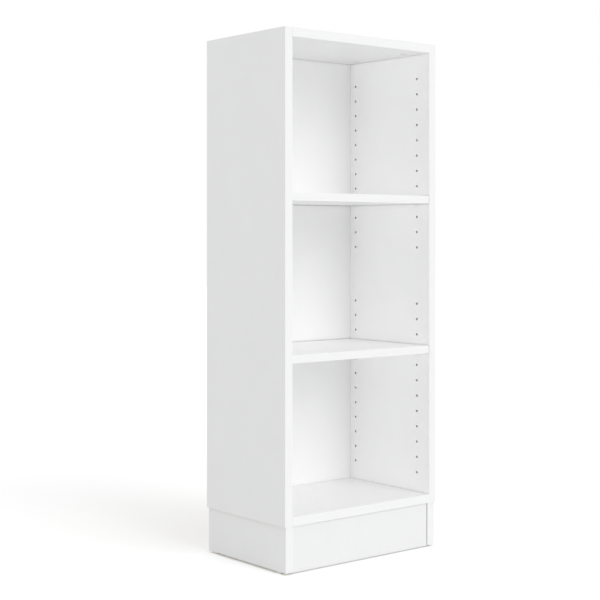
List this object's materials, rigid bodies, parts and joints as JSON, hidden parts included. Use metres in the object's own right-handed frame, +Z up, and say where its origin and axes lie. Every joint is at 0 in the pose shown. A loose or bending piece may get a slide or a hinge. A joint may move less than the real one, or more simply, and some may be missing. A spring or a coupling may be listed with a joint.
{
  "type": "bookcase",
  "caption": "Slim white open bookcase with adjustable shelves and a handle-less drawer in its low base.",
  "frame": {"origin": "on the floor, at the middle of the carcass's width and depth", "axes": "+X to the right as seen from the front, +Y to the back (the front faces -Y), +Z up"},
  "size_m": [0.4, 0.255, 1.04],
  "materials": {
    "white_melamine_board": "satin white melamine on chipboard",
    "white_edging": "satin white plastic edge band",
    "white_fibreboard": "satin white lacquered thin fibreboard",
    "zinc_plated_steel": "bright zinc-plated steel",
    "cast_zinc": "die-cast zinc",
    "white_plastic": "white moulded plastic",
    "beech": "plain beech, fluted dowel",
    "white_coated_steel": "white epoxy coat on folded steel",
    "white_nylon": "natural white nylon",
    "grey_plastic": "light grey moulded plastic"
  },
  "bodies": {
    "bookcase": {"left_side_panel": "white_melamine_board", "right_side_panel": "white_melamine_board", "top_panel": "white_melamine_board", "bottom_panel": "white_melamine_board", "upper_shelf": "white_melamine_board", "lower_shelf": "white_melamine_board", "back_panel": "white_fibreboard", "left_side_edging": "white_edging", "right_side_edging": "white_edging", "top_panel_edging": "white_edging", "bottom_panel_edging": "white_edging", "upper_shelf_edging": "white_edging", "lower_shelf_edging": "white_edging", "shelf_pins": "zinc_plated_steel", "cam_locks": "cast_zinc", "cam_bolts": "zinc_plated_steel", "cam_covers": "white_plastic", "wooden_dowels": "beech", "back_panel_nails": "zinc_plated_steel", "base_left_side": "white_melamine_board", "base_right_side": "white_melamine_board", "base_back_rail": "white_melamine_board", "base_left_edging": "white_edging", "base_right_edging": "white_edging", "base_glides": "white_plastic", "left_cabinet_rail": "white_coated_steel", "right_cabinet_rail": "white_coated_steel", "cabinet_roller_axles": "zinc_plated_steel", "cabinet_rail_screws": "zinc_plated_steel", "push_latch_housing": "grey_plastic", "push_latch_plunger": "grey_plastic", "push_latch_screws": "zinc_plated_steel"},
    "drawer": {"drawer_front": "white_melamine_board", "drawer_front_edging": "white_edging", "drawer_box_front": "white_melamine_board", "drawer_left_side": "white_melamine_board", "drawer_right_side": "white_melamine_board", "drawer_back": "white_melamine_board", "drawer_bottom": "white_fibreboard", "left_drawer_rail": "white_coated_steel", "right_drawer_rail": "white_coated_steel", "drawer_roller_axles": "zinc_plated_steel", "drawer_rail_screws": "zinc_plated_steel", "drawer_corner_screws": "zinc_plated_steel", "drawer_front_screws": "zinc_plated_steel"},
    "left_cabinet_roller": {"left_cabinet_roller": "white_nylon"},
    "right_cabinet_roller": {"right_cabinet_roller": "white_nylon"},
    "left_drawer_roller": {"left_drawer_roller": "white_nylon"},
    "right_drawer_roller": {"right_drawer_roller": "white_nylon"}
  },
  "joints": [
    {"name": "drawer_slide", "type": "slide", "parent": "bookcase", "child": "drawer", "axis": [0, -1, 0], "range_m": [0, 0.145]},
    {"name": "left_cabinet_roller_spin", "type": "hinge", "parent": "bookcase", "child": "left_cabinet_roller", "pos_m": [-0.1726, -0.0915, 0.03], "axis": [1, 0, 0], "continuous": true},
    {"name": "left_drawer_roller_spin", "type": "hinge", "parent": "drawer", "child": "left_drawer_roller", "pos_m": [-0.1726, 0.0705, 0.03], "axis": [1, 0, 0], "continuous": true},
    {"name": "right_cabinet_roller_spin", "type": "hinge", "parent": "bookcase", "child": "right_cabinet_roller", "pos_m": [0.1726, -0.0915, 0.03], "axis": [1, 0, 0], "continuous": true},
    {"name": "right_drawer_roller_spin", "type": "hinge", "parent": "drawer", "child": "right_drawer_roller", "pos_m": [0.1726, 0.0705, 0.03], "axis": [1, 0, 0], "continuous": true}
  ],
  "couplings": [
    {"joint": "left_cabinet_roller_spin", "follows": "drawer_slide", "rad_per_m": 125},
    {"joint": "left_drawer_roller_spin", "follows": "drawer_slide", "rad_per_m": 125},
    {"joint": "right_cabinet_roller_spin", "follows": "drawer_slide", "rad_per_m": 125},
    {"joint": "right_drawer_roller_spin", "follows": "drawer_slide", "rad_per_m": 125}
  ]
}
